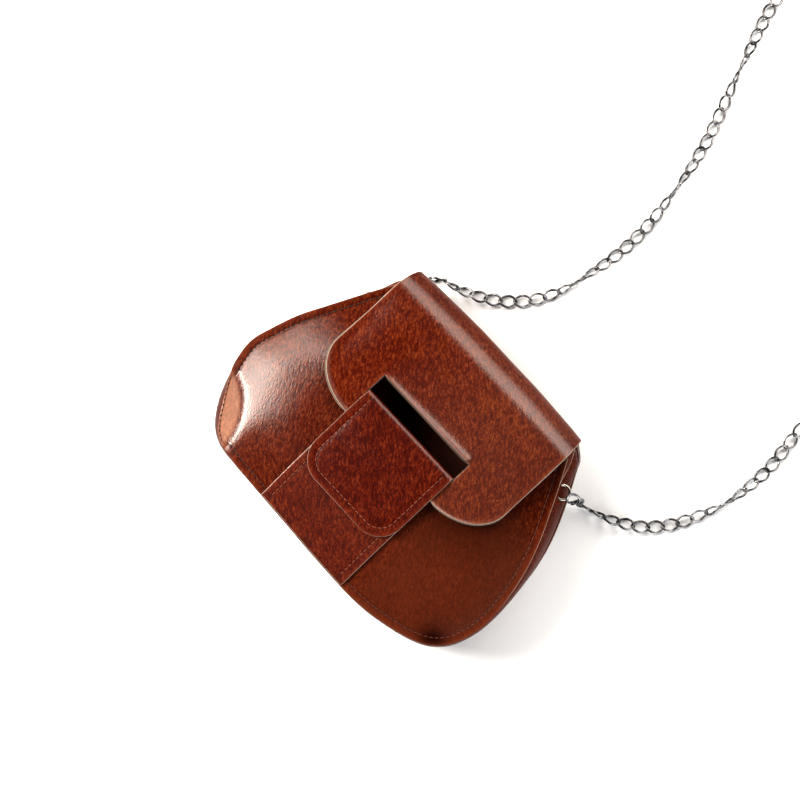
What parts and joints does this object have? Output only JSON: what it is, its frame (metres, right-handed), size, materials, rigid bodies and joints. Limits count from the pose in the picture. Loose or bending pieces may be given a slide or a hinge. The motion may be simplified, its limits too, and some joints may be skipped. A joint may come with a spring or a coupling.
{
  "type": "chain shoulder bag",
  "caption": "Small saddle-shaped leather shoulder bag with a folded flap, a tongue closure through a slot and a chain strap, lying on its back.",
  "frame": {"origin": "middle of the back panel's width and height, on the surface that the bag lies on", "axes": "+X across the bag to its right side, +Y up the bag to its fold, +Z out of the front panel, away from the surface"},
  "size_m": [0.2499, 0.582, 0.0481],
  "materials": {
    "back_flap_leather": "glossy, fine grain",
    "front_leather": "glossy, fine grain",
    "gusset_leather": "glossy, fine grain",
    "strap_leather": "glossy, fine grain",
    "ring_metal": "polished",
    "chain_metal": "polished"
  },
  "bodies": {
    "root": {"back_flap": "back_flap_leather", "front_panel": "front_leather", "gusset": "gusset_leather", "closure_strap": "strap_leather", "ring_left": "ring_metal", "ring_right": "ring_metal", "shoulder_chain": "chain_metal"}
  },
  "joints": []
}
